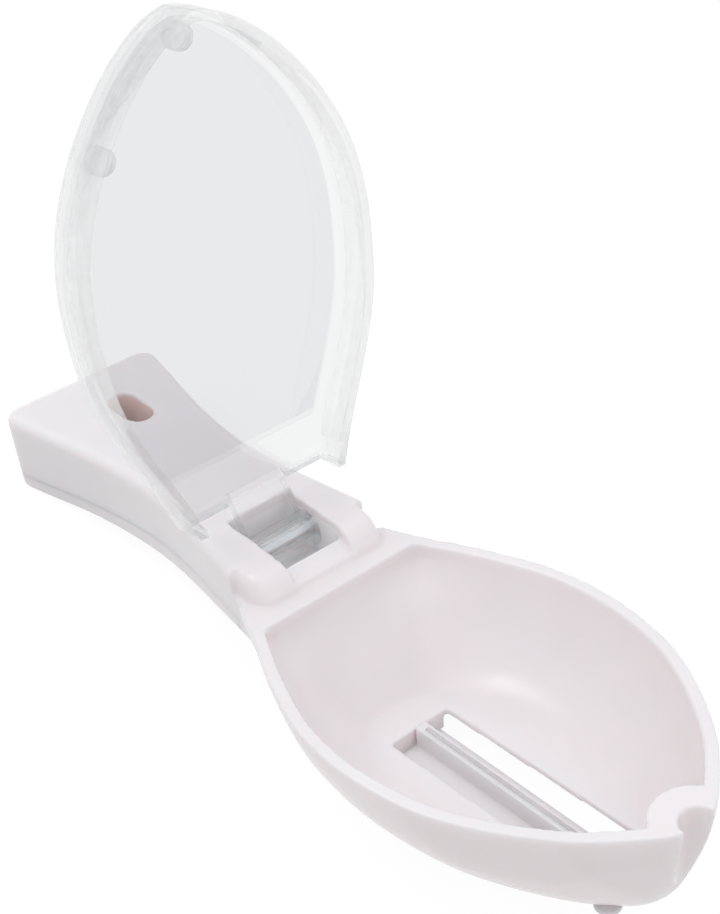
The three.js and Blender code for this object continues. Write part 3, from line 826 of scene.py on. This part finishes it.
def bumpers():
    """The two short posts on the lid's inner face."""
    radius, half = 1.9, 1.2
    top = LID_TOP - LID_WALL - GAP
    for name, x, y in (("lid_bumper_nose", 62.8, 0), ("lid_bumper_side", 50.6, -14.9)):
        bumper = rounded_rod(name + "_fine", radius, half, "z", (x, y, top - half), edge=0.35)
        finish_piece(bumper, LID, "lid", CLEAR, name, angle=50)


base_shell()
handle_cover()
blade_carrier()
blade()
hinge_pin()
feet()
lid_finish(lid_solid())
bumpers()


# ------------------------------ floor and lights, in metres, and the camera
def pale_floor():
    """A floor that glows white to the camera and less to the object that stands on it."""
    reach = 40
    floor = mesh_object("floor", [(-reach, -reach, 0), (reach, -reach, 0), (reach, reach, 0),
                                  (-reach, reach, 0)], [(0, 1, 2, 3)])
    mat, nodes, links, bsdf = material("pale_floor")
    bsdf.inputs["Base Color"].default_value = (0.12, 0.12, 0.12, 1)
    bsdf.inputs["Roughness"].default_value = 0.9
    bsdf.inputs["Emission Color"].default_value = (1, 1, 1, 1)
    glow = nodes.new("ShaderNodeMapRange")
    glow.inputs["To Min"].default_value = 0.9
    glow.inputs["To Max"].default_value = 0.3
    path = nodes.new("ShaderNodeLightPath")
    links.new(path.outputs["Is Diffuse Ray"], glow.inputs["Value"])
    links.new(glow.outputs["Result"], bsdf.inputs["Emission Strength"])
    floor.data.materials.append(mat)


def area_light(name, place, target, size, power):
    data = bpy.data.lights.new(name, "AREA")
    data.shape = "RECTANGLE"
    data.size, data.size_y = size
    data.energy = power
    obj = bpy.data.objects.new(name, data)
    bpy.context.scene.collection.objects.link(obj)
    obj.location = place
    obj.rotation_mode = "QUATERNION"
    obj.rotation_quaternion = (Vector(target) - Vector(place)).to_track_quat("-Z", "Y")


def studio_world():
    """A cool white surrounding, brighter overhead than at the horizon."""
    world = bpy.data.worlds.new("studio")
    world.use_nodes = True
    nodes, links = world.node_tree.nodes, world.node_tree.links
    sky = nodes.new("ShaderNodeTexCoord")
    split = nodes.new("ShaderNodeSeparateXYZ")
    rise = nodes.new("ShaderNodeMapRange")
    rise.inputs["To Min"].default_value = 0.66
    rise.inputs["To Max"].default_value = 1.12
    links.new(sky.outputs["Generated"], split.inputs["Vector"])
    links.new(split.outputs["Z"], rise.inputs["Value"])
    links.new(rise.outputs["Result"], nodes["Background"].inputs["Strength"])
    nodes["Background"].inputs["Color"].default_value = (0.95, 0.98, 1.0, 1)
    bpy.context.scene.world = world


def photo_camera():
    """The camera, placed in the rim's frame (mm) and pointed by three angles in degrees."""
    place = Vector((166.14, -128.03, 160.57))
    azimuth, elevation, roll = (math.radians(v) for v in (51.23, 33.52, -4.32))
    focal_share = 2.0087527       # focal length over the height of the picture
    sensor = 36
    forward = Vector((-math.sin(azimuth) * math.cos(elevation),
                      math.cos(azimuth) * math.cos(elevation), -math.sin(elevation)))
    right = Vector((math.cos(azimuth), math.sin(azimuth), 0))
    up = right.cross(forward)
    rolled_right = math.cos(roll) * right + math.sin(roll) * up
    rolled_up = -math.sin(roll) * right + math.cos(roll) * up
    turn = tool_turn.to_3x3()
    basis = Matrix([turn @ rolled_right, turn @ rolled_up, turn @ -forward]).transposed()
    camera = bpy.data.objects.new("camera", bpy.data.cameras.new("camera"))
    bpy.context.scene.collection.objects.link(camera)
    camera.matrix_world = Matrix.Translation(TOOL @ place) @ basis.to_4x4()
    camera.data.sensor_width = sensor
    camera.data.lens = focal_share * sensor
    camera.data.clip_start = 0.01
    bpy.context.scene.camera = camera


pale_floor()
middle = (0, 0, 0.02)
area_light("key", place=(-0.4, -0.35, 0.7), target=middle, size=(0.3, 0.3), power=0.95)
area_light("fill", place=(0.65, 0.25, 0.45), target=middle, size=(0.3, 0.2), power=0.12)
studio_world()
bpy.context.scene.view_settings.view_transform = "Standard"
photo_camera()
